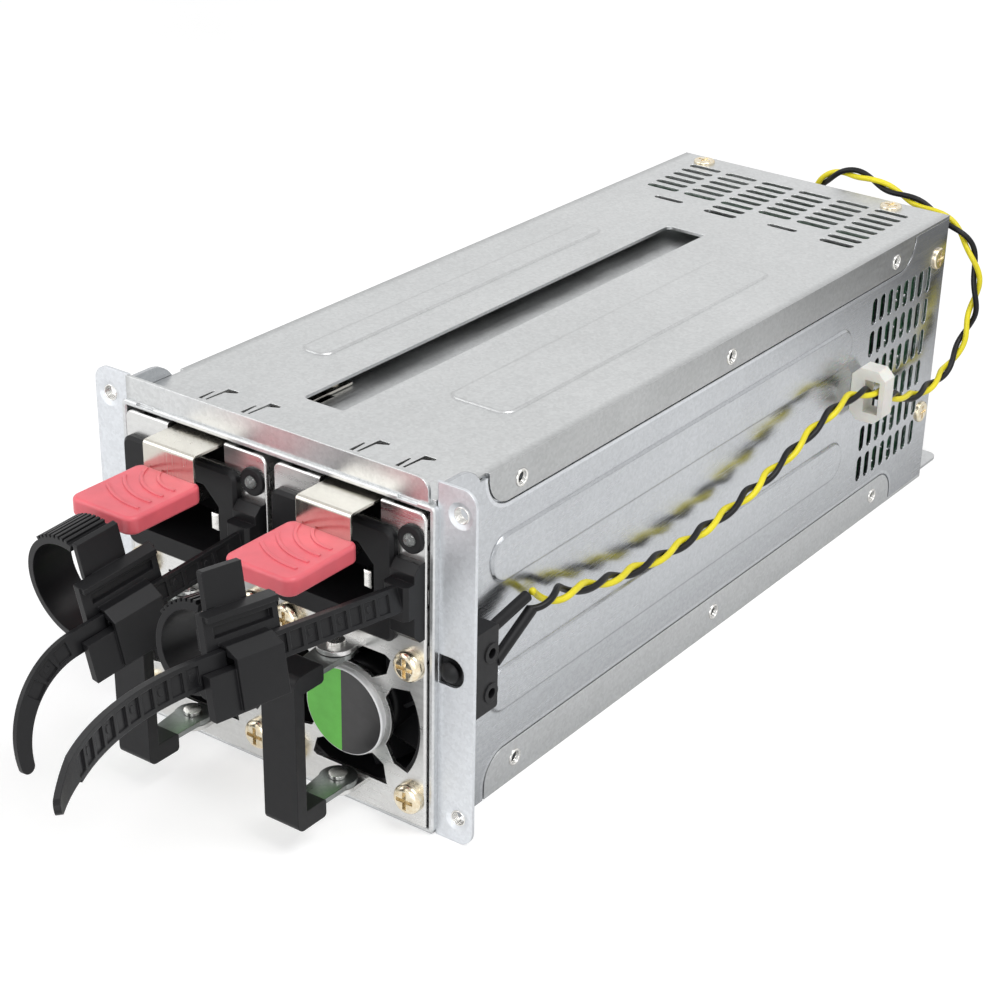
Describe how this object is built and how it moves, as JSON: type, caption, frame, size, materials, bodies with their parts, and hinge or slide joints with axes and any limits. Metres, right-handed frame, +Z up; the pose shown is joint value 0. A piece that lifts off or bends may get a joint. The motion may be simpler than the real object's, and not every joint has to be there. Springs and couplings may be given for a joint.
{
  "type": "hot swap server power supply",
  "caption": "Redundant hot swap server power supply: steel cage with threaded ears, two pull-out modules with fan, mains inlet, latch, handle and cord retainer, alarm switch and lead.",
  "frame": {"origin": "underside of the cage at the front plane of the ears, midway between the sides", "axes": "X points right seen from the front, Y points back into the cage, Z points up"},
  "size_m": [0.1093, 0.3553, 0.0824],
  "materials": {
    "galvanised_steel": "zinc plated sheet, satin",
    "plated_steel": "bright plated sheet, satin",
    "black_steel": "dark satin plating",
    "dark_zinc": "green grey zinc",
    "yellow_zinc": "pale yellow zinc, bright",
    "contact_metal": "bright plated metal",
    "black_plastic": "black moulded, satin",
    "black_nylon": "black nylon, satin",
    "white_nylon": "natural white nylon",
    "coral_plastic": "coral red moulded, satin gloss",
    "label_film": "green and black printed film, satin",
    "clear_lens": "clear lens",
    "green_board": "green solder mask",
    "dark_parts": "dark component bodies",
    "shrink_sleeve": "black shrink sleeve",
    "wire_cover": "black insulation, satin"
  },
  "bodies": {
    "cage": {"side_panel_left": "galvanised_steel", "side_panel_right": "galvanised_steel", "top_cover": "galvanised_steel", "base_panel": "galvanised_steel", "front_rim": "black_steel", "rear_panel": "galvanised_steel", "harness_bushing": "black_plastic", "lead_bushing": "black_plastic", "cage_screws": "contact_metal", "backplane_board": "green_board", "bay_sockets": "black_plastic", "distribution_board": "green_board", "rear_bay_parts": "dark_parts", "alarm_switch": "black_plastic", "alarm_sleeves": "shrink_sleeve", "alarm_lead": "wire_cover", "lead_saddle": "white_nylon"},
    "alarm_push": {"alarm_button": "black_plastic"},
    "module_left": {"case_left": "plated_steel", "front_plate_left": "plated_steel", "fan_frame_left": "black_plastic", "fan_label_left": "label_film", "plate_screws_left": "yellow_zinc", "inlet_housing_left": "black_plastic", "inlet_pins_left": "contact_metal", "lamp_ring_left": "black_plastic", "lamp_lens_left": "clear_lens", "handle_rivets_left": "contact_metal", "strap_left": "black_nylon", "main_board_left": "green_board", "board_parts_left": "dark_parts"},
    "fan_left": {"fan_rotor_left": "black_plastic"},
    "latch_left": {"latch_spring_left": "black_steel", "latch_tab_left": "coral_plastic"},
    "handle_left": {"handle_grip_left": "black_plastic", "handle_leaves_left": "dark_zinc"},
    "clamp_left": {"clamp_slider_left": "black_nylon"},
    "loop_left": {"clamp_loop_left": "black_nylon"},
    "module_right": {"case_right": "plated_steel", "front_plate_right": "plated_steel", "fan_frame_right": "black_plastic", "fan_label_right": "label_film", "plate_screws_right": "yellow_zinc", "inlet_housing_right": "black_plastic", "inlet_pins_right": "contact_metal", "lamp_ring_right": "black_plastic", "lamp_lens_right": "clear_lens", "handle_rivets_right": "contact_metal", "strap_right": "black_nylon", "main_board_right": "green_board", "board_parts_right": "dark_parts"},
    "fan_right": {"fan_rotor_right": "black_plastic"},
    "latch_right": {"latch_spring_right": "black_steel", "latch_tab_right": "coral_plastic"},
    "handle_right": {"handle_grip_right": "black_plastic", "handle_leaves_right": "dark_zinc"},
    "clamp_right": {"clamp_slider_right": "black_nylon"},
    "loop_right": {"clamp_loop_right": "black_nylon"}
  },
  "joints": [
    {"name": "alarm_push_slide", "type": "slide", "parent": "cage", "child": "alarm_push", "axis": [0, 1, 0], "range_m": [0, 0.0011], "stiffness_N_per_m": 150},
    {"name": "module_slide_left", "type": "slide", "parent": "cage", "child": "module_left", "axis": [0, -1, 0], "range_m": [0, 0.18]},
    {"name": "fan_spin_left", "type": "hinge", "parent": "module_left", "child": "fan_left", "pos_m": [-0.0207, 0.013, 0.0245], "axis": [0, 1, 0], "continuous": true},
    {"name": "latch_flex_left", "type": "hinge", "parent": "module_left", "child": "latch_left", "pos_m": [-0.0207, 0.034, 0.0747], "axis": [1, 0, 0], "range_deg": [0, 4], "stiffness_Nm_per_rad": 3},
    {"name": "handle_swing_left", "type": "hinge", "parent": "module_left", "child": "handle_left", "pos_m": [-0.0207, -0.0067, 0.0245], "axis": [0, 0, 1], "range_deg": [-70, 70]},
    {"name": "clamp_slide_left", "type": "slide", "parent": "module_left", "child": "clamp_left", "axis": [0.0521, 0.9935, 0.1011], "range_m": [0, 0.003]},
    {"name": "loop_swing_left", "type": "hinge", "parent": "clamp_left", "child": "loop_left", "pos_m": [-0.00891, -0.03842, 0.04891], "axis": [-0.0521, -0.9935, -0.1011], "range_deg": [0, 30]},
    {"name": "module_slide_right", "type": "slide", "parent": "cage", "child": "module_right", "axis": [0, -1, 0], "range_m": [0, 0.18]},
    {"name": "fan_spin_right", "type": "hinge", "parent": "module_right", "child": "fan_right", "pos_m": [0.0207, 0.013, 0.0245], "axis": [0, 1, 0], "continuous": true},
    {"name": "latch_flex_right", "type": "hinge", "parent": "module_right", "child": "latch_right", "pos_m": [0.0207, 0.034, 0.0747], "axis": [1, 0, 0], "range_deg": [0, 4], "stiffness_Nm_per_rad": 3},
    {"name": "handle_swing_right", "type": "hinge", "parent": "module_right", "child": "handle_right", "pos_m": [0.0207, -0.0067, 0.0245], "axis": [0, 0, 1], "range_deg": [-70, 70]},
    {"name": "clamp_slide_right", "type": "slide", "parent": "module_right", "child": "clamp_right", "axis": [0, 0.9877, -0.1564], "range_m": [0, 0.0145]},
    {"name": "loop_swing_right", "type": "hinge", "parent": "clamp_right", "child": "loop_right", "pos_m": [0.03518, -0.05282, 0.05983], "axis": [0, -0.9877, 0.1564], "range_deg": [0, 30]}
  ]
}
